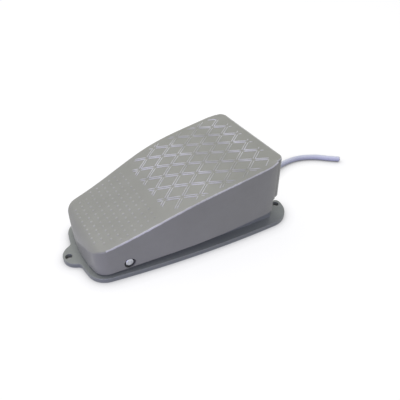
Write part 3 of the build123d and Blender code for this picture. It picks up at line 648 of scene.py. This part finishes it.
# Stamped brass with a light tarnish
stampedBrass = {
    "dark": "#B08D4E", "light": "#D8B56A", "driftSize": 3.0, "grainSize": 0.3,
    "grainStrength": 0.2, "grainDepth": 0.01, "roughness": 0.30, "roughnessSpread": 0.06,
    "metallic": 1.0,
}
# Natural nylon, moulded: waxy and slightly yellow
naturalNylon = {
    "dark": "#D5CFBE", "light": "#E2DDCE", "driftSize": 5.0, "grainSize": 0.5,
    "grainStrength": 0.2, "grainDepth": 0.02, "roughness": 0.5, "roughnessSpread": 0.05,
}
# Moulded black rubber: dull, with a bloom of dust
blackRubber = {
    "dark": "#1B1B1C", "light": "#29292A", "driftSize": 6.0, "grainSize": 0.45,
    "grainStrength": 0.5, "grainDepth": 0.04, "roughness": 0.72, "roughnessSpread": 0.08,
}
# Phenolic moulding: near black with brown in it and a light polish
phenolic = {
    "dark": "#221E1B", "light": "#302B27", "driftSize": 4.0, "grainSize": 0.35,
    "grainStrength": 0.25, "grainDepth": 0.02, "roughness": 0.42, "roughnessSpread": 0.06,
}
# Moulded acetal, coloured red through: smooth, with a soft sheen
redAcetal = {
    "dark": "#A3281F", "light": "#B8352A", "driftSize": 3.0, "grainSize": 0.4,
    "grainStrength": 0.15, "grainDepth": 0.01, "roughness": 0.38, "roughnessSpread": 0.04,
}
# Pressed fibre card: brown, fibrous
fibreCard = {
    "dark": "#6E573C", "light": "#8A7150", "driftSize": 2.0, "grainSize": 0.25,
    "grainStrength": 0.5, "grainDepth": 0.03, "roughness": 0.8, "roughnessSpread": 0.06,
    "stretch": (1, 4, 1),
}
# Extruded core insulation: smooth, with faint lines along the run
brownCore = {
    "dark": "#5B3520", "light": "#6C422A", "driftSize": 4.0, "grainSize": 0.3,
    "grainStrength": 0.2, "grainDepth": 0.01, "roughness": 0.42, "roughnessSpread": 0.05,
}
blueCore = dict(brownCore, dark="#2C5FA8", light="#3B71BD")
earthCore = dict(brownCore, dark="#5E9A34", light="#D2C83A", driftSize=1.6)
# Extruded grey sheath: matt, cooler than the enamel, with faint dust
greySheath = {
    "dark": "#DADFEC", "light": "#E4E8F3", "driftSize": 9.0, "grainSize": 0.5,
    "grainStrength": 0.3, "grainDepth": 0.02, "roughness": 0.55, "roughnessSpread": 0.06,
}

finishes = {
    "grey_hammered_paint": surface("hammered enamel", enamel),
    "ground_steel": surface("ground steel", groundSteel),
    "spring_steel": surface("oil tempered spring steel", springSteel),
    "zinc_steel": surface("zinc plated steel", zincSteel),
    "brass": surface("stamped brass", stampedBrass),
    "nylon": surface("natural nylon", naturalNylon),
    "black_rubber": surface("moulded black rubber", blackRubber),
    "black_phenolic": surface("phenolic moulding", phenolic),
    "red_plastic": surface("red acetal", redAcetal),
    "fibre_card": surface("pressed fibre card", fibreCard),
    "brown_pvc": surface("brown core insulation", brownCore),
    "blue_pvc": surface("blue core insulation", blueCore),
    "green_yellow_pvc": surface("green and yellow core insulation", earthCore),
    "grey_pvc_sheath": surface("grey sheath", greySheath),
}
baseFinish = surface("hammered enamel on the base", baseEnamel)
for part in frame["record"]["subparts"]:
    skin = nodes[part["node"]].data
    finish = baseFinish if part["node"] == "base_casting" else finishes[part["material_slot"]]
    if not skin.materials:
        skin.materials.append(finish)
    for index in range(len(skin.materials)):
        skin.materials[index] = finish
# The rings round the pin take the black rubber finish as painted shade
for piece, slot in (
    (hoodCasting, "grey_hammered_paint"), (treadDots, "grey_hammered_paint"),
    (treadRibs, "grey_hammered_paint"), (pinShadeRings, "black_rubber"),
    (springWire, "spring_steel"), (cord, "grey_pvc_sheath"),
):
    piece.data.materials.clear()
    piece.data.materials.append(finishes[slot])
print("finishes given", len(finishes) + 1)

# Studio: white ground that keeps the object's shadow, one broad key, one low fill, an even sky.
# The floor's size and the lamps' sizes and places are in metres.
studioSettings = {
    "floorSize": 6.0, "floorDrop": 0.2, "floorColour": "#7C7C7C", "floorGlow": 0.87,
    "contactReach": 12.0, "contactSamples": 8,
    "keyPower": 9.0, "keySize": 1.1, "keyPlace": (-0.6, -0.1, 1.4), "keyColour": "#FFFEF4",
    "fillPower": 7.6, "fillSize": 0.9, "fillPlace": (0.9, -0.95, 0.42), "fillColour": "#C4BEFF",
    "lampTarget": (0, 0, 0.03),
    "skyStrength": 0.47, "skyColour": "#F1F1FE",
}
floorMesh = bmesh.new()
bmesh.ops.create_grid(floorMesh, x_segments=1, y_segments=1, size=studioSettings["floorSize"] / 2)
floorData = bpy.data.meshes.new("studio_floor")
floorMesh.to_mesh(floorData)
floorMesh.free()
studioFloor = bpy.data.objects.new("studio_floor", floorData)
studioFloor.location.z = -studioSettings["floorDrop"] * mm
scene.collection.objects.link(studioFloor)
paper = newMaterial("white paper ground")
paperTree = paper.node_tree


# 1 for a ray from the camera, a mirror image or through glass, 0 for the rays that light the object
def seenRay(tree):
    rays = addNode(tree, "ShaderNodeLightPath")
    direct = addNode(
        tree, "ShaderNodeMath", {"operation": "MAXIMUM"},
        {0: rays.outputs["Is Camera Ray"], 1: rays.outputs["Is Glossy Ray"]},
    )
    everySeen = addNode(
        tree, "ShaderNodeMath", {"operation": "MAXIMUM"},
        {0: direct.outputs["Value"], 1: rays.outputs["Is Transmission Ray"]},
    )
    return everySeen.outputs["Value"]


glowStrength = addNode(
    paperTree, "ShaderNodeMath", {"operation": "MULTIPLY", 1: studioSettings["floorGlow"]},
    {0: seenRay(paperTree)},
)
# The glow fades just beside the object, so that its contact shadow stays
openSky = addNode(
    paperTree, "ShaderNodeAmbientOcclusion",
    {"samples": studioSettings["contactSamples"], "Distance": studioSettings["contactReach"] * mm},
)
glow = addNode(
    paperTree, "ShaderNodeEmission", {},
    {"Color": openSky.outputs["Color"], "Strength": glowStrength.outputs["Value"]},
)
matt = addNode(
    paperTree, "ShaderNodeBsdfDiffuse", {"Color": linearColour(studioSettings["floorColour"])},
)
both = addNode(
    paperTree, "ShaderNodeAddShader", {}, {0: glow.outputs["Emission"], 1: matt.outputs["BSDF"]},
)
addNode(paperTree, "ShaderNodeOutputMaterial", {}, {"Surface": both.outputs["Shader"]})
floorData.materials.append(paper)


# A square soft box that looks at the object; name is also the start of its studio settings
def softBox(name):
    data = bpy.data.lights.new(name + "Lamp", "AREA")
    data.color = linearColour(studioSettings[name + "Colour"])[:3]
    data.energy = studioSettings[name + "Power"]
    data.size = studioSettings[name + "Size"]
    lamp = bpy.data.objects.new(name + "Lamp", data)
    place = Vector(studioSettings[name + "Place"])
    lamp.location = place
    lookLine = Vector(studioSettings["lampTarget"]) - place
    lamp.rotation_euler = lookLine.to_track_quat("-Z", "Y").to_euler()
    scene.collection.objects.link(lamp)


softBox("key")
softBox("fill")
sky = bpy.data.worlds.new("studioSky")
scene.world = sky
sky.use_nodes = True
skyTree = sky.node_tree
skyTree.nodes.clear()
softSky = addNode(
    skyTree, "ShaderNodeBackground",
    {"Color": linearColour(studioSettings["skyColour"]), "Strength": studioSettings["skyStrength"]},
)
whiteSky = addNode(skyTree, "ShaderNodeBackground", {"Color": (1, 1, 1, 1), "Strength": 1.0})
skyMix = addNode(
    skyTree, "ShaderNodeMixShader", {},
    {
        0: seenRay(skyTree),
        1: softSky.outputs["Background"],
        2: whiteSky.outputs["Background"],
    },
)
addNode(skyTree, "ShaderNodeOutputWorld", {}, {"Surface": skyMix.outputs["Shader"]})
scene.view_settings.view_transform = "Standard"
print("studio lit")
